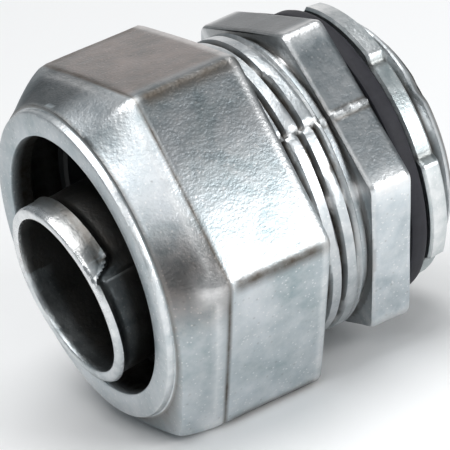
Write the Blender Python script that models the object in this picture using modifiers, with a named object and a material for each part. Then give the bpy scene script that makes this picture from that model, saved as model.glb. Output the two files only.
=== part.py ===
"""Straight liquid-tight connector for 1/2 inch jacketed flexible conduit, cast in zinc.

The fitting lies on a flat of its compression nut.  +X runs along the fitting's axis,
from the mouth that takes the conduit to the hub that goes through a box wall, and +Z
is up.  The origin is on the axis, halfway along the whole fitting.

Places along the axis are stations: distances behind the nut's front face.  Each piece
is drawn about an upright axis with its stations as heights, and is then laid down so
that its heights run along +X.
"""
import math

import bmesh
import bpy
from mathutils import Matrix, Vector

MM = 0.001

# How finely the round pieces are cut
TURN_STEPS = 64
FLAT_PIECES = 4
CORNER_PIECES = 4
EASE_SECTIONS = 5

# Fits between pieces
GAP = 0.3 * MM
LOOSE_FIT = 0.7 * MM

# Round sizes that the others are built on: the socket that takes the conduit, and the
# hub's outer thread
SOCKET_RADIUS = 11.05 * MM
HUB_THREAD_RADIUS = 10.45 * MM

# Walls and steps that build outwards from them
SOCKET_WALL = 1.7 * MM
NUT_WALL_AT_FLAT = 1.2 * MM
HEX_WALL_AT_FLAT = 1.15 * MM
BEAD_STEP = 0.2 * MM
RING_BORE_STEP = 0.25 * MM
RING_FLANGE_STEP = 0.4 * MM
MOUTH_STEP = 0.15 * MM
LOCKNUT_RIM_WALL = 1.35 * MM
LOCKNUT_LUG_HEIGHT = 0.6 * MM
GASKET_MARGIN = 0.25 * MM

# Threads are drawn as plain cylinders on their outer diameter
BODY_THREAD_RADIUS = SOCKET_RADIUS + SOCKET_WALL

# Compression nut
NUT_ACROSS_FLATS = 2 * (BODY_THREAD_RADIUS + GAP + NUT_WALL_AT_FLAT)
NUT_CORNER_ROUNDING = 2.2 * MM
NUT_LENGTH = 14.0 * MM
NUT_NOSE_LENGTH = 5.1 * MM
NUT_MOUTH_RADIUS = SOCKET_RADIUS - RING_BORE_STEP + MOUTH_STEP
NUT_LIP_WIDTH = 2.1 * MM
NUT_LIP_HEIGHT = 0.4 * MM
NUT_LIP_FILLET = 0.4 * MM
NUT_WALL_AT_MOUTH = 1.9 * MM
NUT_REAR_CHAMFER = 0.9 * MM
NUT_REAR_LAND = 1.1 * MM
EDGE_BREAK = 0.25 * MM

# Sealing ring, a hard plastic cone that grips the conduit's jacket
RING_STATION = 5.0 * MM
RING_LENGTH = 3.6 * MM
RING_BORE_RADIUS = SOCKET_RADIUS - RING_BORE_STEP
RING_FLANGE_RADIUS = BODY_THREAD_RADIUS - RING_FLANGE_STEP
RING_FLANGE_LENGTH = 0.8 * MM
RING_TAIL_WALL = 0.35 * MM
RING_CONE_ROOT_WALL = 0.95 * MM

# Connector body
SOCKET_END_STATION = 19.4 * MM
BEAD_STATION = 18.5 * MM
BODY_HEX_STATION = 19.3 * MM
BODY_HEX_LENGTH = 3.6 * MM
BODY_HEX_ACROSS_FLATS = 2 * (SOCKET_RADIUS + HEX_WALL_AT_FLAT)
BEAD_RADIUS = BODY_HEX_ACROSS_FLATS / 2 - BEAD_STEP
BODY_HEX_CORNER_ROUNDING = 1.0 * MM
BODY_HEX_TURN = math.radians(-6.0)
WIREWAY_RADIUS = 7.75 * MM
WIREWAY_FUNNEL = 1.2 * MM
HUB_LENGTH = 6.4 * MM
HUB_END_CHAMFER = 1.15 * MM
THREAD_START_CHAMFER = 0.6 * MM

# Ferrule, which goes inside the conduit and cups its cut end
FERRULE_RADIUS = 7.5 * MM
FERRULE_BORE_RADIUS = 6.6 * MM
FERRULE_STICKS_OUT = 2.1 * MM
FERRULE_RIM_FLARE = 0.35 * MM
FERRULE_FLANGE_THICKNESS = 1.4 * MM
FERRULE_CUP_DEPTH = 3.1 * MM
FERRULE_CUP_WALL = 0.8 * MM
FERRULE_SEAT_SLACK = 1.4 * MM
FERRULE_DROOP = math.radians(5.3)

# Sealing gasket and locknut
GASKET_THICKNESS = 1.6 * MM
GASKET_RADIUS = BODY_HEX_ACROSS_FLATS / 2 + GASKET_MARGIN
LOCKNUT_THICKNESS = 1.7 * MM
LOCKNUT_RIM_RADIUS = HUB_THREAD_RADIUS + LOCKNUT_RIM_WALL
LOCKNUT_LUG_RADIUS = LOCKNUT_RIM_RADIUS + LOCKNUT_LUG_HEIGHT
LOCKNUT_LUGS = 4
LOCKNUT_LUG_ARC = math.radians(43.0)
LOCKNUT_LUG_FLANK = math.radians(4.0)
LOCKNUT_TURN = math.radians(17.5)

# Places that follow from the sizes above
BODY_HEX_END = BODY_HEX_STATION + BODY_HEX_LENGTH
HUB_END_STATION = BODY_HEX_END + HUB_LENGTH
BODY_FRONT_STATION = RING_STATION + RING_FLANGE_LENGTH + GAP
FERRULE_FLANGE_RADIUS = SOCKET_RADIUS - LOOSE_FIT
FERRULE_BACK_STATION = SOCKET_END_STATION - FERRULE_SEAT_SLACK
FERRULE_PIVOT_STATION = FERRULE_BACK_STATION - FERRULE_FLANGE_THICKNESS / 2
GASKET_STATION = BODY_HEX_END + GAP
LOCKNUT_STATION = GASKET_STATION + GASKET_THICKNESS + GAP

# The drooping ferrule's rim is the fitting's front end, and the hub is its back end
RIM_REACH = FERRULE_PIVOT_STATION + FERRULE_STICKS_OUT
FRONT_STATION = (FERRULE_PIVOT_STATION - RIM_REACH * math.cos(FERRULE_DROOP)
                 - (FERRULE_RADIUS - FERRULE_RIM_FLARE) * math.sin(FERRULE_DROOP))
MIDDLE_STATION = (FRONT_STATION + HUB_END_STATION) / 2

# Turns a piece drawn about an upright axis so that its heights run along +X
LAY_DOWN = Matrix.Rotation(math.pi / 2, 4, "Y")


def clear_scene():
    """Remove every object, and the meshes, curves and materials left from an earlier run."""
    for old in list(bpy.data.objects):
        bpy.data.objects.remove(old, do_unlink=True)
    for store in (bpy.data.meshes, bpy.data.curves, bpy.data.materials):
        for old in list(store):
            store.remove(old)
    for old in list(bpy.data.collections):
        bpy.data.collections.remove(old)


def new_collection(name):
    """A collection under the scene's own."""
    made = bpy.data.collections.new(name)
    bpy.context.scene.collection.children.link(made)
    return made


def principled(name, colour, roughness, metallic):
    """One plain finish."""
    material = bpy.data.materials.new(name)
    material.use_nodes = True
    shader = material.node_tree.nodes["Principled BSDF"]
    shader.inputs["Base Color"].default_value = (*colour, 1.0)
    shader.inputs["Roughness"].default_value = roughness
    shader.inputs["Metallic"].default_value = metallic
    return material


def laid_down(station):
    """The place of a piece whose height zero is at this station."""
    return Matrix.Translation((station - MIDDLE_STATION, 0, 0)) @ LAY_DOWN


def add_object(name, data, collection, matrix, material=None):
    """Put data into the scene under a name, where the matrix says."""
    made = bpy.data.objects.new(name, data)
    collection.objects.link(made)
    made.matrix_world = matrix
    if material is not None:
        made.data.materials.append(material)
    return made


def shade_round(piece, angle=35.0):
    """Smooth shading, with creases where faces meet at more than the angle."""
    piece.data.shade_smooth()
    piece.data.set_sharp_from_angle(angle=math.radians(angle))


def spin_profile(name, profile, collection, matrix, closed=True, material=None):
    """A turned piece: a profile of (radius, height) points with a Screw modifier.

    The points run down the outer side first.  A closed profile makes a tube, and an
    open one starts and ends on the axis and makes a solid.
    """
    mesh = bpy.data.meshes.new(name)
    corners = [(radius, 0.0, height) for radius, height in profile]
    edges = [(i, i + 1) for i in range(len(corners) - 1)]
    if closed:
        edges.append((len(corners) - 1, 0))
    mesh.from_pydata(corners, edges, [])
    piece = add_object(name, mesh, collection, matrix, material)
    screw = piece.modifiers.new("turn", "SCREW")
    screw.axis = "Z"
    screw.angle = 2 * math.pi
    screw.steps = TURN_STEPS
    screw.render_steps = TURN_STEPS
    screw.use_merge_vertices = True
    screw.merge_threshold = 0.00001
    screw.use_smooth_shade = False
    return piece


def hide_as_cutter(piece):
    """Mark a piece as a tool that shapes others."""
    piece.hide_render = True
    piece.display_type = "WIRE"


def combine(piece, other, operation):
    """Cut or join with another object."""
    modifier = piece.modifiers.new(operation.lower(), "BOOLEAN")
    modifier.operation = operation
    modifier.object = other
    modifier.solver = "EXACT"


def corner_reach(half_flats, rounding):
    """The angle, from the middle of a flat, at which a rounded hexagon's corner starts."""
    return math.atan((half_flats - rounding) * math.tan(math.pi / 6) / half_flats)


def hexagon_angles(half_flats, rounding):
    """Angles of the points round a rounded hexagon, side by side, flats then corners."""
    reach = corner_reach(half_flats, rounding)
    angles = []
    for side in range(6):
        middle = side * math.pi / 3
        for k in range(FLAT_PIECES + 1):
            angles.append(middle - reach + 2 * reach * k / FLAT_PIECES)
        corner_arc = math.pi / 3 - 2 * reach
        for k in range(1, CORNER_PIECES):
            angles.append(middle + reach + corner_arc * k / CORNER_PIECES)
    return angles


def hexagon_radius(angle, half_flats, rounding):
    """How far a rounded hexagon's outline is from its axis, in one direction."""
    from_flat = (angle + math.pi / 6) % (math.pi / 3) - math.pi / 6
    if abs(from_flat) <= corner_reach(half_flats, rounding) + 1e-9:
        return half_flats / math.cos(from_flat)
    centre = (half_flats - rounding) / math.cos(math.pi / 6)
    off_corner = math.pi / 6 - abs(from_flat)
    return centre * math.cos(off_corner) + math.sqrt(rounding ** 2 - (centre * math.sin(off_corner)) ** 2)


def nose_ease(t):
    """How far the nut's nose has opened from round to hexagon: a full dome."""
    return math.sin(math.pi * t / 2)


def nut_sections():
    """The nut's sections in order: down the outside, and back through the inside.

    Each is a height and a function that gives the radius for an angle.
    """
    half_flats = NUT_ACROSS_FLATS / 2
    lip_radius = NUT_MOUTH_RADIUS + NUT_LIP_WIDTH
    nose_radius = lip_radius + NUT_LIP_FILLET
    nose_station = NUT_LIP_HEIGHT + NUT_LIP_FILLET / 2
    thread_radius = BODY_THREAD_RADIUS + GAP
    rear_radius = half_flats + NUT_REAR_LAND

    def full(angle):
        return hexagon_radius(angle, half_flats, NUT_CORNER_ROUNDING)

    def circle(radius):
        return lambda angle: radius

    def nose(t):
        return lambda angle: nose_radius + (full(angle) - nose_radius) * nose_ease(t)

    sections = [(0.0, circle(lip_radius - EDGE_BREAK)),
                (EDGE_BREAK, circle(lip_radius)),
                (NUT_LIP_HEIGHT, circle(lip_radius))]
    for k in range(EASE_SECTIONS + 1):
        t = k / EASE_SECTIONS
        sections.append((nose_station + (NUT_NOSE_LENGTH - nose_station) * t, nose(t)))
    sections.append((NUT_LENGTH - NUT_REAR_CHAMFER, full))
    sections.append((NUT_LENGTH, lambda angle: min(full(angle), rear_radius)))
    seat_depth = thread_radius - NUT_MOUTH_RADIUS
    sections += [(NUT_LENGTH, circle(thread_radius + EDGE_BREAK)),
                 (NUT_LENGTH - EDGE_BREAK, circle(thread_radius)),
                 (NUT_WALL_AT_MOUTH + seat_depth / 2, circle(thread_radius)),
                 (NUT_WALL_AT_MOUTH, circle(NUT_MOUTH_RADIUS)),
                 (EDGE_BREAK, circle(NUT_MOUTH_RADIUS)),
                 (0.0, circle(NUT_MOUTH_RADIUS + EDGE_BREAK))]
    return sections


def make_compression_nut(parts, zinc):
    """The nut: a loft from the round lip to the hexagon, open right through."""
    angles = hexagon_angles(NUT_ACROSS_FLATS / 2, NUT_CORNER_ROUNDING)
    shape = bmesh.new()
    loops = []
    for height, radius_at in nut_sections():
        loop = []
        for angle in angles:
            radius = radius_at(angle)
            loop.append(shape.verts.new((radius * math.cos(angle), radius * math.sin(angle), height)))
        loops.append(loop)
    for here, after in zip(loops, loops[1:] + loops[:1]):
        for i in range(len(angles)):
            j = (i + 1) % len(angles)
            shape.faces.new((here[i], after[i], after[j], here[j]))
    bmesh.ops.recalc_face_normals(shape, faces=shape.faces)
    mesh = bpy.data.meshes.new("compression_nut")
    shape.to_mesh(mesh)
    shape.free()
    shade_round(add_object("compression_nut", mesh, parts, laid_down(0.0), zinc), 24.0)


def hexagon_prism(name, half_flats, rounding, depth, turn, collection, matrix):
    """A hexagonal bar with rounded corners, from height zero up."""
    shape = bmesh.new()
    bmesh.ops.create_cone(shape, cap_ends=True, segments=6, depth=depth,
                          radius1=half_flats / math.cos(math.pi / 6),
                          radius2=half_flats / math.cos(math.pi / 6))
    uprights = [e for e in shape.edges if abs(e.verts[0].co.z - e.verts[1].co.z) > depth / 2]
    bmesh.ops.bevel(shape, geom=uprights, offset=rounding * math.tan(math.pi / 6), segments=3,
                    profile=0.5, affect="EDGES", material=-1)
    rims = [e for e in shape.edges if abs(e.verts[0].co.z - e.verts[1].co.z) < depth / 2]
    bmesh.ops.bevel(shape, geom=rims, offset=EDGE_BREAK, segments=1,
                    profile=0.5, affect="EDGES", material=-1)
    # create_cone puts a corner on +X: half a side further puts a flat there
    bmesh.ops.transform(shape, verts=shape.verts,
                        matrix=Matrix.Translation((0, 0, depth / 2)) @ Matrix.Rotation(math.pi / 6 + turn, 4, "Z"))
    mesh = bpy.data.meshes.new(name)
    shape.to_mesh(mesh)
    shape.free()
    return add_object(name, mesh, collection, matrix)


def make_connector_body(parts, cutters, zinc):
    """The body: threaded socket, bead and hexagon, threaded hub, and a wireway through them."""
    front = BODY_FRONT_STATION
    blank = [(0.0, HUB_END_STATION),
             (HUB_THREAD_RADIUS - HUB_END_CHAMFER, HUB_END_STATION),
             (HUB_THREAD_RADIUS, HUB_END_STATION - HUB_END_CHAMFER),
             (HUB_THREAD_RADIUS, BODY_HEX_STATION + BODY_HEX_LENGTH / 2),
             (BEAD_RADIUS, BODY_HEX_STATION + BODY_HEX_LENGTH / 2),
             (BEAD_RADIUS, BEAD_STATION),
             (BODY_THREAD_RADIUS, BEAD_STATION - EDGE_BREAK),
             (BODY_THREAD_RADIUS, front + THREAD_START_CHAMFER),
             (BODY_THREAD_RADIUS - THREAD_START_CHAMFER, front),
             (0.0, front)]
    body = spin_profile("connector_body", blank, parts, laid_down(0.0), closed=False, material=zinc)
    flange = hexagon_prism("body_hexagon", BODY_HEX_ACROSS_FLATS / 2, BODY_HEX_CORNER_ROUNDING,
                           BODY_HEX_LENGTH, BODY_HEX_TURN, cutters, laid_down(BODY_HEX_STATION))
    # The mouth of the socket opens in the ring's own taper, one gap clear of it
    ring_end = RING_STATION + RING_LENGTH
    flare_radius = RING_BORE_RADIUS + RING_CONE_ROOT_WALL + GAP
    socket_floor = SOCKET_END_STATION
    past = 1.0 * MM
    hollow = [(0.0, HUB_END_STATION + past),
              (WIREWAY_RADIUS, HUB_END_STATION + past),
              (WIREWAY_RADIUS, socket_floor + WIREWAY_FUNNEL),
              (WIREWAY_RADIUS + WIREWAY_FUNNEL, socket_floor),
              (SOCKET_RADIUS, socket_floor),
              (SOCKET_RADIUS, ring_end + 2 * GAP),
              (RING_BORE_RADIUS + RING_TAIL_WALL + GAP, ring_end),
              (flare_radius, front),
              (flare_radius, front - past),
              (0.0, front - past)]
    wireway = spin_profile("body_hollow", hollow, cutters, laid_down(0.0), closed=False)
    for tool in (flange, wireway):
        hide_as_cutter(tool)
    combine(body, flange, "UNION")
    combine(body, wireway, "DIFFERENCE")
    shade_round(body)


def make_sealing_ring(parts, plastic):
    """The ring: a flange that the nut presses on, and a tapered tail inside the body's mouth."""
    bore = RING_BORE_RADIUS
    end = RING_LENGTH
    flange_end = RING_FLANGE_LENGTH
    profile = [(bore + RING_TAIL_WALL, end),
               (bore + RING_CONE_ROOT_WALL, flange_end + GAP),
               (bore + RING_CONE_ROOT_WALL, flange_end),
               (RING_FLANGE_RADIUS, flange_end),
               (RING_FLANGE_RADIUS, flange_end / 2),
               (RING_FLANGE_RADIUS - flange_end / 2, 0.0),
               (bore + EDGE_BREAK, 0.0),
               (bore, EDGE_BREAK),
               (bore, end)]
    shade_round(spin_profile("sealing_ring", profile, parts, laid_down(RING_STATION), material=plastic))


def make_ferrule(parts, zinc):
    """The ferrule: a tube with a flared rim, whose back flange turns forward into a cup."""
    rim = 0.0
    back = FERRULE_BACK_STATION + FERRULE_STICKS_OUT
    flange = back - FERRULE_FLANGE_THICKNESS
    cup = flange - FERRULE_CUP_DEPTH
    outer = FERRULE_FLANGE_RADIUS
    inner = outer - FERRULE_CUP_WALL
    profile = [(outer - EDGE_BREAK, back),
               (outer, back - EDGE_BREAK),
               (outer, cup + EDGE_BREAK),
               (outer - EDGE_BREAK, cup),
               (inner, cup),
               (inner, flange),
               (FERRULE_RADIUS, flange),
               (FERRULE_RADIUS, rim + FERRULE_RIM_FLARE),
               (FERRULE_RADIUS - FERRULE_RIM_FLARE, rim),
               (FERRULE_BORE_RADIUS + EDGE_BREAK, rim),
               (FERRULE_BORE_RADIUS, rim + EDGE_BREAK),
               (FERRULE_BORE_RADIUS, back - 2 * FERRULE_RIM_FLARE),
               (FERRULE_BORE_RADIUS + 2 * FERRULE_RIM_FLARE, back)]
    # Heights are taken from the pivot, which lies on the rocking axis
    pivot_height = RIM_REACH
    profile = [(radius, height - pivot_height) for radius, height in profile]
    drooped = laid_down(FERRULE_PIVOT_STATION) @ Matrix.Rotation(-FERRULE_DROOP, 4, "Y")
    shade_round(spin_profile("ferrule", profile, parts, drooped, material=zinc))


def make_sealing_gasket(parts, rubber):
    """The gasket: a flat black washer round the hub's root."""
    inner = HUB_THREAD_RADIUS + GAP
    profile = [(GASKET_RADIUS - EDGE_BREAK, GASKET_THICKNESS),
               (GASKET_RADIUS, GASKET_THICKNESS - EDGE_BREAK),
               (GASKET_RADIUS, EDGE_BREAK),
               (GASKET_RADIUS - EDGE_BREAK, 0.0),
               (inner, 0.0),
               (inner, GASKET_THICKNESS)]
    shade_round(spin_profile("sealing_gasket", profile, parts, laid_down(GASKET_STATION), material=rubber))


def locknut_outline():
    """Points round the locknut: arcs of rim and of lug, with short slanted flanks."""
    points = []
    pitch = 2 * math.pi / LOCKNUT_LUGS
    half_lug = LOCKNUT_LUG_ARC / 2
    rim_arc = pitch - LOCKNUT_LUG_ARC - 2 * LOCKNUT_LUG_FLANK
    pieces = 6
    for lug in range(LOCKNUT_LUGS):
        middle = lug * pitch + LOCKNUT_TURN
        for k in range(pieces + 1):
            angle = middle - half_lug + LOCKNUT_LUG_ARC * k / pieces
            points.append((LOCKNUT_LUG_RADIUS * math.cos(angle), LOCKNUT_LUG_RADIUS * math.sin(angle)))
        for k in range(pieces + 1):
            angle = middle + half_lug + LOCKNUT_LUG_FLANK + rim_arc * k / pieces
            points.append((LOCKNUT_RIM_RADIUS * math.cos(angle), LOCKNUT_RIM_RADIUS * math.sin(angle)))
    return points


def add_flat_loop(curve, points):
    """One closed straight-sided loop of a flat curve."""
    spline = curve.splines.new("POLY")
    spline.points.add(len(points) - 1)
    for place, (x, y) in zip(spline.points, points):
        place.co = (x, y, 0.0, 1.0)
    spline.use_cyclic_u = True


def make_locknut(parts, zinc):
    """The locknut: a flat ring with square lugs for a driver's blade or pliers."""
    hole_radius = HUB_THREAD_RADIUS + GAP
    hole = []
    for k in range(TURN_STEPS):
        angle = 2 * math.pi * k / TURN_STEPS
        hole.append((hole_radius * math.cos(angle), hole_radius * math.sin(angle)))
    curve = bpy.data.curves.new("locknut_outline", "CURVE")
    curve.dimensions = "2D"
    curve.fill_mode = "BOTH"
    curve.extrude = LOCKNUT_THICKNESS / 2
    add_flat_loop(curve, locknut_outline())
    add_flat_loop(curve, hole)
    guide = add_object("locknut_guide", curve, parts, Matrix.Identity(4))
    bpy.context.view_layer.update()
    evaluated = guide.evaluated_get(bpy.context.evaluated_depsgraph_get())
    mesh = bpy.data.meshes.new_from_object(evaluated)
    bpy.data.objects.remove(guide, do_unlink=True)
    bpy.data.curves.remove(curve)
    shape = bmesh.new()
    shape.from_mesh(mesh)
    bmesh.ops.remove_doubles(shape, verts=shape.verts, dist=0.00001)
    bmesh.ops.recalc_face_normals(shape, faces=shape.faces)
    bmesh.ops.translate(shape, verts=shape.verts, vec=Vector((0, 0, LOCKNUT_THICKNESS / 2)))
    shape.to_mesh(mesh)
    shape.free()
    mesh.name = "locknut"
    locknut = add_object("locknut", mesh, parts, laid_down(LOCKNUT_STATION), zinc)
    edges = locknut.modifiers.new("edge break", "BEVEL")
    edges.width = EDGE_BREAK
    edges.segments = 1
    edges.limit_method = "ANGLE"
    edges.angle_limit = math.radians(60)
    shade_round(locknut)


def main():
    clear_scene()
    parts = new_collection("liquid_tight_connector")
    cutters = new_collection("cutters")
    zinc = principled("cast zinc", (0.55, 0.57, 0.58), 0.42, 1.0)
    bright_zinc = principled("bright cast zinc", (0.62, 0.64, 0.66), 0.38, 1.0)
    plastic = principled("dark grey plastic", (0.035, 0.038, 0.04), 0.5, 0.0)
    rubber = principled("black rubber", (0.05, 0.05, 0.058), 0.65, 0.0)
    make_compression_nut(parts, zinc)
    make_sealing_ring(parts, plastic)
    make_ferrule(parts, bright_zinc)
    make_connector_body(parts, cutters, zinc)
    make_sealing_gasket(parts, rubber)
    make_locknut(parts, zinc)


main()
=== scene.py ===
# %% [markdown]
# # Straight liquid-tight connector
# Six cast and moulded pieces clamp a jacketed flexible conduit and lock its hub to a box
# wall.  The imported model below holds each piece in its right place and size.  The cells
# after it give each one its cast edges, threads, seams and finish.

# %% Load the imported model
import math

import bmesh
import bpy
from mathutils import Matrix, Vector, noise


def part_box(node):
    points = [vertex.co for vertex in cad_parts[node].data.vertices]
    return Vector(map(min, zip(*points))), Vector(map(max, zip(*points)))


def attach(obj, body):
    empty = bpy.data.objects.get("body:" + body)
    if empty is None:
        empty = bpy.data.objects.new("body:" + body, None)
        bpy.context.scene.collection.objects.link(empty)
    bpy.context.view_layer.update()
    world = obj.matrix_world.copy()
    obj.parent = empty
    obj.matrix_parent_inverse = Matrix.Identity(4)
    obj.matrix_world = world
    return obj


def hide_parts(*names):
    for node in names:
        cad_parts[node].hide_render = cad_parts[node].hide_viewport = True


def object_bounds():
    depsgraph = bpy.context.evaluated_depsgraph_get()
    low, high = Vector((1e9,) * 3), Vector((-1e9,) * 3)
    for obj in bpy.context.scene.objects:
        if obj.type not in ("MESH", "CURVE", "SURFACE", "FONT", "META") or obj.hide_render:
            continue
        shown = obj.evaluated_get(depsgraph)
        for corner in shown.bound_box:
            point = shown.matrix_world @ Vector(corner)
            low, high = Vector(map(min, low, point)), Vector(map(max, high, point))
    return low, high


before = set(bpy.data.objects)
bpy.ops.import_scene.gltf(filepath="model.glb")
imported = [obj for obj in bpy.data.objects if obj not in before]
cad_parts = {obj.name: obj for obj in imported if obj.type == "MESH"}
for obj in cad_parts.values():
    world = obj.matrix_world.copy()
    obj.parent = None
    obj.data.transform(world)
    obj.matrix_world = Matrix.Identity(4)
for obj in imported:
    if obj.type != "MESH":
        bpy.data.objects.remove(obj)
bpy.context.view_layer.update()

# %% [markdown]
# ## Places along the axis
# A maker works from one face of the job.  Here it is the nut's front face, and a station
# is the distance behind it, in millimetres.  Directions round the axis are angles from
# straight up towards the near side.  Three short helpers turn these into places.

# %% Stations and directions
MM = 0.001
NUT_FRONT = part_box("compression_nut")[0][0]


def station_of(x):
    """Millimetres behind the nut's front face."""
    return (x - NUT_FRONT) / MM


def at(station, radius, angle=0.0):
    """The place with this station and radius in millimetres, and this angle in degrees."""
    turn = math.radians(angle)
    return Vector((NUT_FRONT + station * MM, -radius * math.sin(turn) * MM,
                   radius * math.cos(turn) * MM))


def direction_of(place):
    """The angle round the axis, from straight up towards the near side."""
    return math.degrees(math.atan2(-place.y, place.z)) % 360.0


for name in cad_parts:
    low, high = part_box(name)
    print(f"{name}: stations {station_of(low[0]):.2f} to {station_of(high[0]):.2f} mm")

# %% [markdown]
# ## Turning a blank, then pressing it to shape
# Every piece here is round about one axis except for its flats, lugs and threads.  Each
# could be a loft or a stack of Booleans.  Spinning one section and then moving its points
# is simpler: the mesh stays one closed skin of even quads, so casting draft, soft edges
# and threads can all be functions of station and angle.

# %% Helpers for a turned blank
STEPS = 300


def turned_blank(section, spacing=0.25, steps=STEPS, inside=0.0, closed=True):
    """Spin a section of (station, radius) points about the axis, as a bmesh.

    Sides longer than the spacing are cut up, but those nearer the axis than inside are
    hardly seen and stay coarse.
    """
    blank = bmesh.new()
    corners = [blank.verts.new(at(station, radius)) for station, radius in section]
    ring = corners + corners[:1] if closed else corners
    sides = [blank.edges.new(pair) for pair in zip(ring, ring[1:])]
    for side in sides:
        hidden = max(corner.co.z for corner in side.verts) < inside * MM
        cuts = int(side.calc_length() / ((1.5 if hidden else spacing) * MM))
        if cuts:
            bmesh.ops.subdivide_edges(blank, edges=[side], cuts=cuts)
    bmesh.ops.spin(blank, geom=blank.verts[:] + blank.edges[:], cent=(0, 0, 0), axis=(1, 0, 0),
                   dvec=(0, 0, 0), angle=2 * math.pi, steps=steps, use_merge=True)
    bmesh.ops.remove_doubles(blank, verts=blank.verts, dist=0.000002)
    bmesh.ops.recalc_face_normals(blank, faces=blank.faces)
    return blank


def press(blank, shape):
    """Move each point: shape(station, radius, angle) gives its new station and radius."""
    for corner in blank.verts:
        place = corner.co
        angle = direction_of(place)
        radius = math.hypot(place.y, place.z) / MM
        station, radius = shape(station_of(place.x), radius, angle)
        corner.co = at(station, radius, angle)

# %% [markdown]
# ## Easing and unevenness
# Hard steps in a shape function leave saw teeth between the mesh's points.  Every change
# from one level to another is therefore eased, and cast walls get a slow, repeatable noise.

# %% Helpers for shape functions
WALL_RADIUS = 12.0


def smooth_step(low, high, value):
    """0 below low, 1 above high, and an eased slope between them."""
    t = min(max((value - low) / (high - low), 0.0), 1.0)
    return t * t * (3 - 2 * t)


def bump_at(centre, width, value, period=None):
    """1 at the centre, easing to 0 a width away, on a line or round a circle."""
    gap = abs(value - centre)
    if period is not None:
        gap = min(gap % period, period - gap % period)
    return 1.0 - smooth_step(0.0, width, gap)


def unevenness(station, angle, size, seed):
    """Slow unevenness of a cast wall, from -1 to 1, with lumps of about this size in mm."""
    turn = math.radians(angle)
    place = Vector((station / size + seed, WALL_RADIUS * math.cos(turn) / size,
                    WALL_RADIUS * math.sin(turn) / size))
    return noise.noise(place)


def hexagon_reach(angle, half_flats, rounding, crown=0.0):
    """Radius of a rounded hexagon with a flat on top; crown lowers a flat's two ends."""
    off = math.radians((angle + 30.0) % 60.0 - 30.0)
    reach = math.atan((half_flats - rounding) * math.tan(math.pi / 6) / half_flats)
    if abs(off) <= reach:
        along = half_flats * math.tan(off)
        return half_flats / math.cos(off) - crown * (along / (half_flats * math.tan(reach))) ** 2
    centre = (half_flats - rounding) / math.cos(math.pi / 6)
    off = math.pi / 6 - abs(off)
    return (centre * math.cos(off)
            + math.sqrt(rounding ** 2 - (centre * math.sin(off)) ** 2)) - crown

# %% [markdown]
# ## From blank to finished piece
# Each piece ends the same way: made an object, shaded smooth with its real corners kept
# sharp, set to ride on its body, and named as the stand-in for its imported node.  Painted
# numbers on its points then tell the material where painted shade, painted highlights, dirt
# and wear are.

# %% Helpers that finish and paint a piece


def finish_piece(name, blank, body, node, materials, sharp=38.0):
    """Make the object, shade it, and hand it to the frame in place of its CAD node."""
    mesh = bpy.data.meshes.new(name)
    blank.to_mesh(mesh)
    blank.free()
    piece = bpy.data.objects.new(name, mesh)
    bpy.context.scene.collection.objects.link(piece)
    mesh.shade_smooth()
    mesh.set_sharp_from_angle(angle=math.radians(sharp))
    for material in materials:
        mesh.materials.append(material)
    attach(piece, body)
    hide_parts(node)
    print(f"{name}: {len(mesh.polygons) * 2} triangles")
    return piece


def paint(piece, attribute, value_at):
    """Store a number from 0 to 1 on each point, from its station, radius and angle."""
    layer = piece.data.attributes.new(attribute, "FLOAT", "POINT")
    for corner, place in zip(layer.data, piece.data.vertices):
        radius = math.hypot(place.co.y, place.co.z) / MM
        corner.value = min(max(value_at(station_of(place.co.x), radius, direction_of(place.co)),
                               0.0), 1.0)

# %% [markdown]
# ## Cast zinc
# A die casting has a thin bright skin, a fine orange-peel grain, and small dull and bright
# patches where the metal froze at different times.  Its corners and recesses get painted
# shade, with some dirt.  A single grey metal would look like plastic film, so colour,
# roughness and height each get their own noise, at three scales.  Four painted attributes
# steer them: one for painted light and shade across the faces, one for a brownish tint, one
# for painted shade in corners along with dirt, and one for painted highlights and wear on edges.

# %% Helpers for shader nodes


def add_node(tree, kind, **settings):
    """A shader node with its settings; keys with a leading in_ set its inputs."""
    node = tree.nodes.new(kind)
    for key, value in settings.items():
        if key.startswith("in_"):
            node.inputs[key[3:].replace("_", " ")].default_value = value
        else:
            setattr(node, key, value)
    return node


def ramp(tree, source, stops):
    """A colour ramp through (place, colour) stops."""
    node = tree.nodes.new("ShaderNodeValToRGB")
    elements = node.color_ramp.elements
    while len(elements) < len(stops):
        elements.new(0.5)
    for element, (place, colour) in zip(elements, stops):
        element.position = place
        element.color = (*colour, 1.0)
    tree.links.new(source, node.inputs["Fac"])
    return node.outputs["Color"]


def grey(value):
    return (value, value, value)


def mix_colours(tree, factor, first, second, blend="MIX"):
    """Mix two colours or links by a factor or link."""
    node = tree.nodes.new("ShaderNodeMix")
    node.data_type = "RGBA"
    node.blend_type = blend
    for socket, value in ((node.inputs[0], factor), (node.inputs[6], first),
                          (node.inputs[7], second)):
        if isinstance(value, bpy.types.NodeSocket):
            tree.links.new(value, socket)
        elif isinstance(value, tuple):
            socket.default_value = (*value, 1.0)
        else:
            socket.default_value = value
    return node.outputs[2]


def scale_value(tree, source, low, high):
    """Spread a 0 to 1 link over low to high."""
    node = add_node(tree, "ShaderNodeMapRange")
    node.inputs["To Min"].default_value = low
    node.inputs["To Max"].default_value = high
    tree.links.new(source, node.inputs["Value"])
    return node.outputs["Result"]

# %% The cast zinc finish
BROWNISH = (0.86, 0.72, 0.66)


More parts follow.
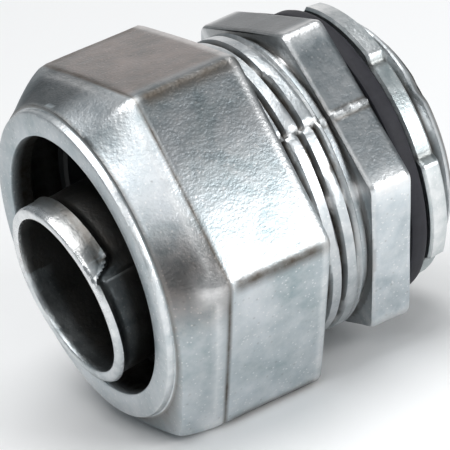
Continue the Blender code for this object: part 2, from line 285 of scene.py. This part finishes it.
def cast_zinc(name, dark, light, shade_and_soot=(0.10, 0.085, 0.07), rough=(0.30, 0.52),
              grain=1.0, speckle=0.5):
    """As-cast zinc: mottled colour, orange-peel grain, painted shade in corners, painted highlights
    and wear on edges.
    """
    material = bpy.data.materials.new(name)
    material.use_nodes = True
    tree = material.node_tree
    shader = tree.nodes["Principled BSDF"]
    shader.inputs["Metallic"].default_value = 1.0
    place = add_node(tree, "ShaderNodeTexCoord").outputs["Object"]

    def noise_at(scale, detail, roughness, distortion=0.0):
        node = add_node(tree, "ShaderNodeTexNoise", in_Scale=scale, in_Detail=detail,
                        in_Roughness=roughness, in_Distortion=distortion)
        tree.links.new(place, node.inputs["Vector"])
        return node.outputs["Fac"]

    patches = noise_at(160.0, 3.0, 0.55, 0.6)
    mottle = noise_at(900.0, 4.0, 0.62)
    fine = noise_at(4000.0, 1.5, 0.55)
    colour = ramp(tree, patches, [(0.30, dark), (0.70, light)])
    clouds = ramp(tree, mottle, [(0.32, grey(0.30)), (0.68, grey(0.72))])
    colour = mix_colours(tree, 0.55, colour, clouds, "OVERLAY")
    cells = add_node(tree, "ShaderNodeTexVoronoi", in_Scale=2300.0, in_Randomness=1.0)
    tree.links.new(place, cells.inputs["Vector"])
    flecks = ramp(tree, cells.outputs["Distance"], [(0.10, grey(1.0)), (0.24, grey(0.0))])
    pits = add_node(tree, "ShaderNodeTexVoronoi", in_Scale=1100.0, in_Randomness=1.0)
    tree.links.new(place, pits.inputs["Vector"])
    pitted = ramp(tree, pits.outputs["Distance"], [(0.04, grey(1.0)), (0.16, grey(0.0))])
    colour = mix_colours(tree, scale_value(tree, pitted, 0.0, 0.24), colour, shade_and_soot)
    bright = tuple(min(1.0, part * 1.35) for part in light)
    colour = mix_colours(tree, scale_value(tree, flecks, 0.0, speckle), colour, bright)
    # This attribute paints light and shade onto the faces: it scales the colour from dark to light.
    painted_light_and_shade = add_node(tree, "ShaderNodeAttribute", attribute_name="painted_light_and_shade").outputs["Fac"]
    shade = ramp(tree, painted_light_and_shade, [(0.0, grey(0.20)), (0.5, grey(0.62)), (1.0, grey(1.0))])
    colour = mix_colours(tree, 1.0, colour, shade, "MULTIPLY")
    warm = add_node(tree, "ShaderNodeAttribute", attribute_name="warm").outputs["Fac"]
    colour = mix_colours(tree, warm, colour, BROWNISH, "MULTIPLY")
    # This attribute paints shade into corners, creases and recesses, with some dirt, broken up by
    # the mottle.
    shade_and_soot_mask = add_node(tree, "ShaderNodeAttribute", attribute_name="shade_and_soot").outputs["Fac"]
    mottled_shade_and_soot = add_node(tree, "ShaderNodeMath", operation="MULTIPLY")
    tree.links.new(shade_and_soot_mask, mottled_shade_and_soot.inputs[0])
    tree.links.new(scale_value(tree, mottle, 0.45, 1.35), mottled_shade_and_soot.inputs[1])
    colour = mix_colours(tree, mottled_shade_and_soot.outputs[0], colour, shade_and_soot)
    # This attribute paints highlights onto edges and crests, with some wear; it also lowers the
    # roughness there.
    wear_and_highlight = add_node(tree, "ShaderNodeAttribute", attribute_name="wear_and_highlight").outputs["Fac"]
    wear_and_highlight_mask = add_node(tree, "ShaderNodeMath", operation="MULTIPLY")
    tree.links.new(wear_and_highlight, wear_and_highlight_mask.inputs[0])
    tree.links.new(scale_value(tree, mottle, 0.2, 1.2), wear_and_highlight_mask.inputs[1])
    colour = mix_colours(tree, wear_and_highlight_mask.outputs[0], colour, bright)
    tree.links.new(colour, shader.inputs["Base Color"])
    dull = add_node(tree, "ShaderNodeMath", operation="MULTIPLY_ADD")
    tree.links.new(wear_and_highlight_mask.outputs[0], dull.inputs[0])
    dull.inputs[1].default_value = -0.14
    tree.links.new(scale_value(tree, mottle, rough[0], rough[1]), dull.inputs[2])
    tree.links.new(dull.outputs[0], shader.inputs["Roughness"])
    heights = add_node(tree, "ShaderNodeMath", operation="MULTIPLY_ADD")
    tree.links.new(fine, heights.inputs[0])
    heights.inputs[1].default_value = 0.8
    tree.links.new(mottle, heights.inputs[2])
    bump = add_node(tree, "ShaderNodeBump", in_Strength=0.24 * grain, in_Distance=0.0001)
    tree.links.new(heights.outputs[0], bump.inputs["Height"])
    tree.links.new(bump.outputs["Normal"], shader.inputs["Normal"])
    return material


nut_zinc = cast_zinc("nut cast zinc", (0.50, 0.575, 0.60), (0.80, 0.84, 0.87),
                     speckle=0.7, grain=1.6, rough=(0.33, 0.56))
body_zinc = cast_zinc("body cast zinc", (0.52, 0.58, 0.61), (0.80, 0.85, 0.88),
                      speckle=0.65, grain=1.4, rough=(0.33, 0.55))
ferrule_zinc = cast_zinc("ferrule cast zinc", (0.34, 0.39, 0.41), (0.74, 0.78, 0.80),
                         rough=(0.26, 0.45))
locknut_zinc = cast_zinc("locknut cast zinc", (0.50, 0.57, 0.585), (0.76, 0.82, 0.83),
                         speckle=0.65, grain=1.2)

# %% [markdown]
# ## Compression nut
# The nut is a hexagon whose front closes to a round lip.  The rounded hexagon, the domed
# nose and the lip's fillet are each one function, and the nut's outside takes the smaller
# of nose and hexagon, which leaves the straight crease between them.  The flats are
# slightly crowned, as a cast flat is, so light rolls across them.

# %% The nut's shape
NUT_HALF_FLATS = (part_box("compression_nut")[1][2]) / MM
NUT_LENGTH = station_of(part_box("compression_nut")[1][0])
CREASE = 4.8
LIP_RADIUS = 13.05
NOSE_START = 0.75
MOUTH_RADIUS = 10.95
NUT_BORE = 13.05
BLANK_RADIUS = 15.0
REAR_EDGE = 0.35
INSET = 0.03


def nose_reach(station, angle, hexagon):
    """Radius of the nose, which is a touch fuller on its lower side."""
    t = (station - NOSE_START) / (CREASE - NOSE_START)
    full = min(1.0, 1.3 * bump_at(160.0, 60.0, angle))
    t = min(max(t, 0.0), 1.6)
    dome = 0.50 * t + 0.50 * math.sin(math.pi / 2 * min(t, 1.0)) + (0.5 * (t - 1) if t > 1 else 0)
    low_dome = min(t, 1.0) ** 0.11 + max(t - 1, 0.0) * 0.3
    ease = dome + (low_dome - dome) * full
    return LIP_RADIUS + 0.35 + (hexagon - LIP_RADIUS - 0.35) * ease


def nut_outside(station, radius, angle):
    """The nut's outer skin, from the lip to the rear chamfer."""
    if radius < NUT_BORE + 0.12 and not (radius > 12.3 and station < 1.2):
        return station, radius
    hexagon = hexagon_reach(angle, NUT_HALF_FLATS, 1.2, 0.14)
    if station < 0.62 and radius <= LIP_RADIUS + 0.01:
        return station, radius
    nose = nose_reach(station, angle, hexagon)
    outer = nose if station < CREASE else hexagon
    blend = 0.35
    if abs(station - CREASE) < blend:
        k = (station - CREASE + blend) / (2 * blend)
        outer = nose * (1 - k) + hexagon * k - 0.06 * (1 - abs(2 * k - 1))
    outer -= 0.28 * max(0.0, (station - NUT_LENGTH + REAR_EDGE) / REAR_EDGE) ** 2
    outer += (0.035 * unevenness(station, angle, 4.0, 3.0)
              + 0.015 * unevenness(station, angle, 1.1, 9.0) - INSET)
    share = (radius - NUT_BORE) / (BLANK_RADIUS - NUT_BORE)
    if share < 0.999 and station > NUT_LENGTH - 0.3:
        return station, NUT_BORE + (outer - NUT_BORE) * share
    if share < 0.999:
        climb = min(1.0, (radius - LIP_RADIUS) / (BLANK_RADIUS - LIP_RADIUS))
        return station, LIP_RADIUS + (outer - LIP_RADIUS) * climb
    return station, outer

# %% The nut, spun and pressed
nut_section = [
    (0.0, LIP_RADIUS - 0.25), (0.07, LIP_RADIUS - 0.08), (0.25, LIP_RADIUS), (0.60, LIP_RADIUS),
    (0.70, BLANK_RADIUS), (CREASE, BLANK_RADIUS), (NUT_LENGTH - REAR_EDGE, BLANK_RADIUS),
    (NUT_LENGTH - 0.1, BLANK_RADIUS),
    (NUT_LENGTH, BLANK_RADIUS),
    (NUT_LENGTH, NUT_BORE + 0.25), (NUT_LENGTH - 0.25, NUT_BORE),
    (2.95, NUT_BORE), (1.9, MOUTH_RADIUS),
    (0.25, MOUTH_RADIUS), (0.08, MOUTH_RADIUS + 0.08), (0.0, MOUTH_RADIUS + 0.25)]
nut_blank = turned_blank(nut_section, spacing=0.32, inside=NUT_BORE + 0.1)
press(nut_blank, nut_outside)
nut = finish_piece("nut", nut_blank, "compression_nut", "compression_nut", [nut_zinc])

# %% [markdown]
# ## Painted light, shade and wear on the nut
# Each flat gets painted light and shade that runs across it, and the nose broad painted dark
# and bright patches.  Painted shade sits in the crease, along the edges, inside the mouth and
# in the lip's fillet, and the corners get painted highlights with some wear.  Textures
# painted by hand would need an unwrapped map.  Functions of place need none.

# %% Paint the nut


def nut_painted_shade(station, radius, angle):
    """Painted shade in the crease, along the rounded edges, inside the mouth and in the lip's
    fillet.
    """
    if radius < NUT_BORE + 0.1:
        return 1.0 if station > 0.35 and radius < LIP_RADIUS - 0.3 or station > 1.0 else 0.0
    crease = 1.0 * bump_at(CREASE, 0.34, station)
    edges = 0.95 * bump_at(30.8, 4.4, angle, 60.0) * smooth_step(CREASE, CREASE + 1.0, station)
    fillet = 0.8 * bump_at(0.66, 0.35, station) * (1.0 if radius < LIP_RADIUS + 1.2 else 0.0)
    return max(crease, edges, fillet)


def nut_highlight_and_wear(station, radius, angle):
    """Painted highlights, with some wear, on the lip, beside the crease, at the rear and at the
    nose's corners.
    """
    beside = 0.5 * bump_at(CREASE - 0.9, 0.6, station)
    corner = 0.8 * bump_at(30.0, 9.0, angle, 60.0) * bump_at(3.6, 1.8, station)
    rear = 0.6 * bump_at(NUT_LENGTH - 0.5, 0.6, station)
    lip = 0.5 * bump_at(LIP_RADIUS, 0.4, radius) * (1.0 if station < 0.7 else 0.0)
    return max(beside, corner, rear, lip) if radius > MOUTH_RADIUS + 0.2 else 0.0


def nut_painted_light_and_shade(station, radius, angle):
    """Painted light and shade: each flat runs from dark to light, and the nose has broad dark and
    bright patches.
    """
    turn = (angle + 30.0) % 60.0 / 60.0
    if radius < LIP_RADIUS + 0.4:
        return 0.74
    if station > CREASE + 0.1:
        flat = int((angle + 30.0) % 360.0 // 60.0)
        low, high = ((0.34, 0.36), (0.08, 0.92), (0.74, 0.80),
                     (0.7, 0.6), (0.55, 0.7), (0.6, 0.5))[flat]
        return low + (high - low) * smooth_step(0.25, 0.92, turn)
    # Here dull is painted shade and bright is painted light on the nose.
    dull = max(min(1.0, 1.5 * bump_at(352.0, 32.0, angle, 360.0)),
               0.9 * bump_at(84.0, 24.0, angle, 360.0), 0.7 * bump_at(235.0, 30.0, angle))
    bright = max(bump_at(42.0, 26.0, angle), 0.35 * bump_at(150.0, 50.0, angle),
                 0.5 * bump_at(290.0, 25.0, angle))
    return 0.62 - 0.55 * dull + 0.38 * bright


def nut_warm(station, radius, angle):
    """A brownish tint on the top flat and in one patch of the nose."""
    if station > CREASE:
        on_top = (angle + 30.0) % 360.0 < 60.0
        return (0.95 * (1 - smooth_step(24.0, 29.0, (angle + 180.0) % 360.0 - 180.0))
                if on_top else 0.0)
    return 0.8 * bump_at(86.0, 24.0, angle) if radius > LIP_RADIUS + 0.3 else 0.0


# Painted shade, painted highlights with wear, painted light and shade, and a brownish tint.
paint(nut, "shade_and_soot", nut_painted_shade)
paint(nut, "wear_and_highlight", nut_highlight_and_wear)
paint(nut, "painted_light_and_shade", nut_painted_light_and_shade)
paint(nut, "warm", nut_warm)
print("painted on the nut:", ", ".join(
    layer.name for layer in nut.data.attributes if layer.data_type == "FLOAT"))

# %% [markdown]
# ## Connector body
# The body carries two threads, a bead, a hexagonal flange and the mould's parting line.
# A thread could be a separate helical sweep.  Here the blank's own points are pressed in
# between the crests, with the depth a function of station less one pitch a turn, so the
# crests climb the helix and run out where they should.  The two mould halves met a little
# out of line, so the crests step at the parting line.

# %% The body's shape
BODY_FRONT = station_of(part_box("connector_body")[0][0])
HUB_END = station_of(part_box("connector_body")[1][0])
THREAD_CREST = 12.75
THREAD_DEPTH = 0.75
THREAD_PITCH = 1.5
THREAD_END = 18.3
HEX_START, HEX_END = 19.3, 22.9
HEX_HALF_FLATS = 12.7
HEX_BLANK = 13.9
BEAD = 12.0
HUB_CREST = 10.45
HUB_DEPTH = 0.85
HUB_PITCH = 1.814
SEAM = 55.5
HEX_TURN = -6.0


def groove(phase, crest_share):
    """How deep the thread is at this phase of its pitch, from 0 on a crest to 1 in the root."""
    from_crest = abs((phase % 1.0) - 0.5) * 2
    return smooth_step(crest_share, 0.97, from_crest)


def seam_offset(angle):
    """1 on one mould half and 0 on the other."""
    return 1.0 if (angle - SEAM) % 360.0 < 180.0 else 0.0


def seam_near(angle, width):
    """1 on either parting line, easing to 0 this many degrees away."""
    return bump_at(SEAM, width, angle, 180.0)


def body_shape(station, radius, angle):
    """The body's outer skin: threads, bead, flange and parting line."""
    if radius < HUB_CREST - 1.6 or (station < HEX_START and radius < THREAD_CREST - 0.8):
        return station, radius
    half = seam_offset(angle)
    if station < THREAD_END:
        phase = (station + 0.42 * half) / THREAD_PITCH - angle / 360.0
        fade = (smooth_step(BODY_FRONT, BODY_FRONT + 0.8, station)
                * (1 - smooth_step(17.6, 18.25, station)))
        cut = THREAD_DEPTH * groove(phase, 0.58) * fade
        cut = cut + 0.25 * seam_near(angle, 2.2) * (1 - cut / THREAD_DEPTH)
        return station, radius - cut + 0.02 * unevenness(station, angle, 1.5, 2.0) - 0.02
    if station < HEX_END + 0.01 and radius > BEAD - 0.3:
        turned = angle - HEX_TURN
        hexagon = hexagon_reach(turned, HEX_HALF_FLATS, 0.95, 0.06)
        draft = 0.10 * (HEX_END - station) / (HEX_END - HEX_START)
        lift = (0.16 + 0.22 * unevenness(station, angle, 0.5, 8.0)) * seam_near(angle, 1.5)
        if station < HEX_START - 0.001:
            return station, radius + 0.12 * seam_near(angle, 2.0)
        share = (radius - (BEAD - 0.3)) / (HEX_BLANK - BEAD + 0.3)
        edge = 0.18 * bump_at(HEX_START, 0.3, station) + 0.14 * bump_at(HEX_END, 0.28, station)
        target = hexagon - draft + lift - edge * (1.0 if share > 0.95 else 0.0)
        target += 0.02 * unevenness(station, angle, 2.5, 5.0) - 0.02
        return station, BEAD - 0.3 + (target - BEAD + 0.3) * share
    if station > HEX_END - 0.01 and radius <= HUB_CREST + 0.01:
        phase = station / HUB_PITCH - angle / 360.0
        fade = 1 - 0.6 * smooth_step(HUB_END - 0.5, HUB_END, station)
        cut = HUB_DEPTH * groove(phase, 0.35) * fade if radius > 9.0 else 0.0
        flat = 0.3 * seam_near(angle, 9.0)
        return station, max(radius - cut - flat, 8.3) if radius > 8.6 else radius
    return station, radius

# %% The body, spun and pressed
body_section = [
    (HUB_END, 9.3), (HUB_END - 1.15, HUB_CREST), (HEX_END + 0.2, HUB_CREST), (HEX_END, HUB_CREST),
    (HEX_END, HEX_BLANK), (HEX_START, HEX_BLANK), (HEX_START, BEAD), (19.0, BEAD),
    (18.62, BEAD - 0.06),
    (18.4, THREAD_CREST - 0.25), (18.25, THREAD_CREST - 0.02), (BODY_FRONT + 0.6, THREAD_CREST),
    (BODY_FRONT, THREAD_CREST - 0.6), (BODY_FRONT, 12.05), (8.6, 11.45), (9.2, 11.05),
    (19.4, 11.05),
    (19.4, 8.95), (20.6, 7.75), (HUB_END - 0.25, 7.75), (HUB_END, 8.0)]
body_blank = turned_blank(body_section, spacing=0.2, inside=9.0)
press(body_blank, body_shape)
body = finish_piece("body", body_blank, "connector_body", "connector_body",
                    [body_zinc])

# %% [markdown]
# ## Painted light, shade and a stain on the body
# Thread roots get painted shade and crests painted highlights, which is what makes a thread
# readable, and the flange's faces get painted light and shade.  The root and crest are told
# apart by radius, so the paint always follows the shape.

# %% Paint the body


def body_shade_and_stain(station, radius, angle):
    """Painted shade in the thread and hub roots, by the flange, bead and seam, inside, and one
    stain.
    """
    if station < THREAD_END and radius > 11.7:
        depth = THREAD_CREST - radius
        root = 0.25 + 0.75 * smooth_step(0.12, 0.45, depth) if radius < THREAD_CREST - 0.12 else 0.0
        stain = min(1.0, 2.0 * bump_at(72.0, 3.5, angle) * bump_at(17.4, 0.6, station))
        return max(root, stain, 0.5 * seam_near(angle, 1.2))
    if radius > 11.6:
        step = 0.8 * bump_at(HEX_START, 0.5, station) * (1.0 if radius < 12.6 else 0.2)
        bead = 0.6 * bump_at(18.45, 0.2, station)
        behind = smooth_step(HEX_START + 0.3, HEX_START + 1.2, station)
        edges = 0.5 * bump_at(30.0, 3.5, angle - HEX_TURN, 60.0) * behind
        return max(step, bead, 0.6 * edges, bump_at(SEAM + 1.7, 1.3, angle, 180.0),
                   0.7 * bump_at(SEAM - 1.5, 0.9, angle, 180.0))
    if radius > 8.5:
        return 0.15 + 0.7 * smooth_step(0.25, 0.7, HUB_CREST - radius)
    return 0.5


def body_highlight_and_wear(station, radius, angle):
    """Painted highlights, with some wear, on the crests, the seam's raised line and the flange's
    corners.
    """
    if station < THREAD_END and radius > THREAD_CREST - 0.25:
        return 0.30
    if radius > 11.6:
        corner = bump_at(30.0, 6.0, angle - HEX_TURN, 60.0) * 0.8
        return max(corner, 0.7 * seam_near(angle, 0.9),
                   0.5 * bump_at(HEX_START + 0.1, 0.3, station))
    return 0.4 if radius > HUB_CREST - 0.3 else 0.0


def body_painted_light_and_shade(station, radius, angle):
    """Painted light and shade: the flange's upper flats are dark and its lower ones pale; the
    threads are pale.
    """
    if radius > 11.6 and station > HEX_START - 0.2:
        turned = (angle - HEX_TURN + 30.0) % 360.0
        flat = (0.06, 0.16, 0.85, 0.6, 0.5, 0.3)[int(turned // 60.0)]
        return flat + 0.25 * bump_at(0.0, 10.0, turned, 60.0)
    return 0.52 if station < THREAD_END else 0.6


# Painted shade with one stain, painted highlights with wear, and painted light and shade.
paint(body, "shade_and_soot", body_shade_and_stain)
paint(body, "wear_and_highlight", body_highlight_and_wear)
paint(body, "painted_light_and_shade", body_painted_light_and_shade)
print(f"body painted on {len(body.data.vertices)} points")

# %% [markdown]
# ## Ferrule
# The ferrule is a thin tube that goes inside the conduit.  Its front is a little fatter,
# and that collar ends in a ridge that winds back round the tube and stops at the mould's
# parting line.  It hangs loose, so after shaping it is tipped about its seat as the CAD
# solid is.

# %% The ferrule's shape
PIVOT = 17.3
RIM = -2.1
FERRULE_BACK = 18.0
DROOP = 5.3
TUBE_RADIUS = 7.7
FERRULE_SEAM = 70.0


def ferrule_shape(station, radius, angle):
    """The collar's winding edge and the parting line on the tube."""
    if radius < TUBE_RADIUS - 0.2 or radius > TUBE_RADIUS + 0.1 or station > 13.0:
        return station, radius
    upper = (FERRULE_SEAM - angle) % 360.0
    rounded = 1.9 * (1.0 - smooth_step(0.0, 16.0, upper)) ** 2
    collar_end = 0.0 - rounded if upper < 180.0 else RIM + 0.45
    low = 0.24 * smooth_step(collar_end, collar_end + 0.45, station)
    ridge = 0.10 * bump_at(collar_end - 0.1, 0.45, station)
    seam = 0.10 * bump_at(FERRULE_SEAM, 1.6, angle) * smooth_step(-1.6, -1.2, station)
    return station, radius - low + ridge - seam + 0.02 * unevenness(station, angle, 1.2, 7.0)

# %% The ferrule, spun, pressed and tipped
cup = FERRULE_BACK - 1.4
ferrule_section = [
    (FERRULE_BACK, 10.1), (FERRULE_BACK - 0.25, 10.35), (cup - 2.85, 10.35), (cup - 3.1, 10.1),
    (cup - 3.1, 9.55), (cup, 9.55), (cup, TUBE_RADIUS), (RIM + 0.4, TUBE_RADIUS),
    (RIM + 0.12, TUBE_RADIUS - 0.1),
    (RIM, TUBE_RADIUS - 0.30), (RIM, 7.0), (RIM + 0.12, 6.81), (RIM + 0.4, 6.75),
    (FERRULE_BACK - 0.7, 6.75),
    (FERRULE_BACK, 7.3)]
ferrule_blank = turned_blank(ferrule_section, spacing=0.28, steps=400)
press(ferrule_blank, ferrule_shape)
bmesh.ops.rotate(ferrule_blank, verts=ferrule_blank.verts, cent=at(PIVOT, 0.0),
                 matrix=Matrix.Rotation(math.radians(-DROOP), 3, "Y"))
ferrule = finish_piece("ferrule_tube", ferrule_blank, "ferrule", "ferrule",
                       [ferrule_zinc])

# %% Paint the ferrule


def ferrule_painted_shade(station, radius, angle):
    """Painted shade on the tube behind its collar, inside, and along its seam."""
    if radius < 6.9 and station > -2.2:
        return 0.75
    behind = 0.75 * smooth_step(-0.2, 0.6, station)
    return max(behind, 0.9 * bump_at(FERRULE_SEAM, 2.0, angle) * smooth_step(-2.0, -1.0, station))


paint(ferrule, "shade_and_soot", ferrule_painted_shade)
# Painted light on the front rim and painted shade on the tube behind it.
paint(ferrule, "painted_light_and_shade", lambda station, radius, angle: 0.85 if station < -1.2 else 0.35)


def ferrule_highlight_and_wear(station, radius, angle):
    """Painted highlights, with some wear, on the rim and on a strip above the parting line."""
    strip = 0.6 * bump_at(FERRULE_SEAM - 3.5, 3.0, angle) if radius > 7.0 else 0.0
    return max(0.9 * bump_at(-2.3, 1.2, station), strip)


paint(ferrule, "wear_and_highlight", ferrule_highlight_and_wear)
print(f"ferrule painted on {len(ferrule.data.vertices)} points")

# %% [markdown]
# ## Sealing ring, gasket and locknut
# The ring is hard nylon and the gasket is rubber: one section each, spun.  The gasket's
# rim is slightly bulged, as a pinched washer's is.  The locknut is a blank whose rim is
# pressed out into four lugs with steep flanks.

# %% Ring, gasket and locknut finishes


def moulded(name, dark, light, roughness, scale, strength):
    """A dark moulded finish with a slow mottle and a faint grain."""
    material = bpy.data.materials.new(name)
    material.use_nodes = True
    tree = material.node_tree
    shader = tree.nodes["Principled BSDF"]
    place = add_node(tree, "ShaderNodeTexCoord").outputs["Object"]
    slow = add_node(tree, "ShaderNodeTexNoise", in_Scale=scale, in_Detail=4.0, in_Roughness=0.6)
    tree.links.new(place, slow.inputs["Vector"])
    tree.links.new(ramp(tree, slow.outputs["Fac"], [(0.3, dark), (0.75, light)]),
                   shader.inputs["Base Color"])
    rough = scale_value(tree, slow.outputs["Fac"], roughness - 0.1, roughness + 0.12)
    tree.links.new(rough, shader.inputs["Roughness"])
    shader.inputs["Specular IOR Level"].default_value = 0.3
    bump = add_node(tree, "ShaderNodeBump", in_Strength=strength, in_Distance=0.0001)
    tree.links.new(slow.outputs["Fac"], bump.inputs["Height"])
    tree.links.new(bump.outputs["Normal"], shader.inputs["Normal"])
    return material


ring_plastic = moulded("ring nylon", (0.010, 0.012, 0.013), (0.022, 0.025, 0.026), 0.5, 700.0, 0.2)
gasket_rubber = moulded("gasket rubber", (0.014, 0.014, 0.018), (0.026, 0.026, 0.032),
                        0.62, 1100.0, 0.35)

# %% Sealing ring
RING_FRONT = station_of(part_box("sealing_ring")[0][0])
ring_section = [
    (RING_FRONT + 3.6, 11.15), (RING_FRONT + 1.1, 11.75), (RING_FRONT + 0.8, 11.75),
    (RING_FRONT + 0.8, 12.35),
    (RING_FRONT + 0.4, 12.35), (RING_FRONT, 11.95), (RING_FRONT, 11.05), (RING_FRONT + 0.25, 10.8),
    (RING_FRONT + 3.6, 10.8)]
ring_blank = turned_blank(ring_section, spacing=0.4, steps=240)
finish_piece("grip_ring", ring_blank, "sealing_ring", "sealing_ring",
             [ring_plastic])

# %% Gasket
GASKET_FRONT = station_of(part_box("sealing_gasket")[0][0])
GASKET_BACK = station_of(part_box("sealing_gasket")[1][0])
gasket_section = [
    (GASKET_BACK, 12.1), (GASKET_BACK - 0.12, 12.32), (GASKET_BACK - 0.4, 12.43),
    (GASKET_FRONT + 0.4, 12.43),
    (GASKET_FRONT + 0.12, 12.32), (GASKET_FRONT, 12.1), (GASKET_FRONT, 10.75), (GASKET_BACK, 10.75)]
gasket_blank = turned_blank(gasket_section, spacing=0.3, steps=240, inside=12.0)


def gasket_shape(station, radius, angle):
    """A rim that wavers a little where the clamp pinches it."""
    if radius > 12.0:
        radius += 0.05 * unevenness(station * 0.3, angle, 3.0, 4.0) - 0.03
    return station, radius


press(gasket_blank, gasket_shape)
finish_piece("gasket", gasket_blank, "sealing_gasket", "sealing_gasket",
             [gasket_rubber])

# %% Locknut
LOCKNUT_FRONT = station_of(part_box("locknut")[0][0])
LOCKNUT_BACK = station_of(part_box("locknut")[1][0])
LOCKNUT_RIM, LOCKNUT_LUG = 11.8, 12.4
LUG_CENTRE, LUG_HALF, LUG_FLANK = 17.5, 21.5, 3.0
LUG_SPACING = 90.0
locknut_section = [
    (LOCKNUT_BACK, LOCKNUT_RIM - 0.22), (LOCKNUT_BACK - 0.22, LOCKNUT_RIM),
    (LOCKNUT_FRONT + 0.22, LOCKNUT_RIM),
    (LOCKNUT_FRONT, LOCKNUT_RIM - 0.22), (LOCKNUT_FRONT, 11.0), (LOCKNUT_FRONT + 0.25, 10.75),
    (LOCKNUT_BACK - 0.25, 10.75), (LOCKNUT_BACK, 11.0)]
locknut_blank = turned_blank(locknut_section, spacing=0.22)


def off_lug(angle):
    """Degrees from the middle of the nearest lug."""
    return abs((angle - LUG_CENTRE + LUG_SPACING / 2) % LUG_SPACING - LUG_SPACING / 2)


def locknut_shape(station, radius, angle):
    """Push the rim out into lugs, with a little draft towards the back."""
    off = off_lug(angle)
    lug = 1.0 - smooth_step(LUG_HALF - 0.4, LUG_HALF + LUG_FLANK, off)
    share = smooth_step(11.0, LOCKNUT_RIM - 0.3, radius)
    draft = 0.08 * (station - LOCKNUT_FRONT)
    return station, radius + share * ((LOCKNUT_LUG - LOCKNUT_RIM) * lug - draft)


press(locknut_blank, locknut_shape)
locknut = finish_piece("locknut_ring", locknut_blank, "locknut", "locknut",
                       [locknut_zinc])

# %% Paint the locknut


def locknut_painted_shade(station, radius, angle):
    """Painted shade at the lugs' flanks and round the thread."""
    dirty = 0.7 * bump_at(LUG_HALF + LUG_FLANK, 3.0, off_lug(angle))
    return max(dirty, 0.5 if radius < 11.1 else 0.0)


paint(locknut, "shade_and_soot", locknut_painted_shade)
# The locknut's painted light and shade stays at one even level.
paint(locknut, "painted_light_and_shade", lambda station, radius, angle: 0.62)
# Painted highlights, with some wear, on the lugs' tips.
paint(locknut, "wear_and_highlight", lambda station, radius, angle: 0.7 * bump_at(LOCKNUT_LUG, 0.25, radius))
print(f"locknut painted on {len(locknut.data.vertices)} points")

# %% [markdown]
# ## Camera
# A long lens, a little above and to the left of the axis, and rolled, so that the fitting
# runs up to the right.  It stands at a fixed place, turned by azimuth, elevation and roll.

# %% The camera
AZIMUTH, ELEVATION, ROLL = -24.31, 20.31, -15.08
CAMERA_PLACE = Vector((-0.10898, -0.24057, 0.09591))

azimuth, elevation = math.radians(AZIMUTH), math.radians(ELEVATION)
backwards = Vector((math.sin(azimuth) * math.cos(elevation),
                    -math.cos(azimuth) * math.cos(elevation),
                    math.sin(elevation)))
right = Vector((math.cos(azimuth), math.sin(azimuth), 0.0))
facing = Matrix((right, backwards.cross(right), backwards)).transposed()
camera_data = bpy.data.cameras.new("camera")
camera_data.sensor_width = 36.0
camera_data.lens = 280.0
camera_data.clip_start = 0.01
camera = bpy.data.objects.new("camera", camera_data)
camera.matrix_world = (Matrix.Translation(CAMERA_PLACE)
                       @ (facing @ Matrix.Rotation(math.radians(ROLL), 3, "Z")).to_4x4())
bpy.context.scene.collection.objects.link(camera)
bpy.context.scene.camera = camera
print(f"camera {CAMERA_PLACE.length / MM:.0f} mm from the fitting")

# %% [markdown]
# ## Floor and light
# Metal shows what surrounds it.  A large panel overhead whitens the floor, whose light
# fills the undersides, and a pale room fills the rest.  Three smaller panels make the
# highlights: one near, for the middle flats, one over the near shoulder, and a warm one
# behind, for the top flat.

# %% The floor
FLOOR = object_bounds()[0][2]
floor_shape = bmesh.new()
bmesh.ops.create_grid(floor_shape, x_segments=1, y_segments=1, size=1.5)
bmesh.ops.translate(floor_shape, verts=floor_shape.verts, vec=(0, 0, FLOOR))
floor_mesh = bpy.data.meshes.new("floor")
floor_shape.to_mesh(floor_mesh)
floor_shape.free()
floor = bpy.data.objects.new("floor", floor_mesh)
bpy.context.scene.collection.objects.link(floor)
floor_white = bpy.data.materials.new("pale floor")
floor_white.use_nodes = True
floor_white.node_tree.nodes["Principled BSDF"].inputs["Base Color"].default_value = (
    0.90, 0.90, 0.90, 1.0)
floor_white.node_tree.nodes["Principled BSDF"].inputs["Roughness"].default_value = 0.9
floor_mesh.materials.append(floor_white)
print(f"floor at {FLOOR / MM:.2f} mm")

# %% The room
room = bpy.data.worlds.new("room")
room.use_nodes = True
room.node_tree.nodes["Background"].inputs["Color"].default_value = (0.88, 0.95, 1.0, 1.0)
room.node_tree.nodes["Background"].inputs["Strength"].default_value = 0.23
bpy.context.scene.world = room
bpy.context.scene.view_settings.view_transform = "Standard"

# %% The soft panels


def soft_panel(name, place, aim, size, power, colour=(1.0, 1.0, 1.0)):
    """A square soft light at a place in metres, facing an aim."""
    data = bpy.data.lights.new(name, "AREA")
    data.size = size
    data.energy = power
    data.color = colour
    panel = bpy.data.objects.new(name, data)
    panel.location = place
    panel.rotation_euler = (Vector(aim) - Vector(place)).to_track_quat("-Z", "Y").to_euler()
    bpy.context.scene.collection.objects.link(panel)


soft_panel("floor panel", (0.0, 0.0, 0.6), (0, 0, 0), 0.5, 3.1)
soft_panel("near panel", (0.11, -0.24, 0.075), (0.0, -0.012, 0.004), 0.11, 0.42)
soft_panel("shoulder panel", (-0.09, -0.19, 0.19), (-0.012, -0.01, 0.008), 0.08, 0.07)
soft_panel("back panel", (0.22, 0.36, 0.10), (0.0, 0.0, 0.014), 0.26, 0.20, (1.0, 0.95, 0.93))
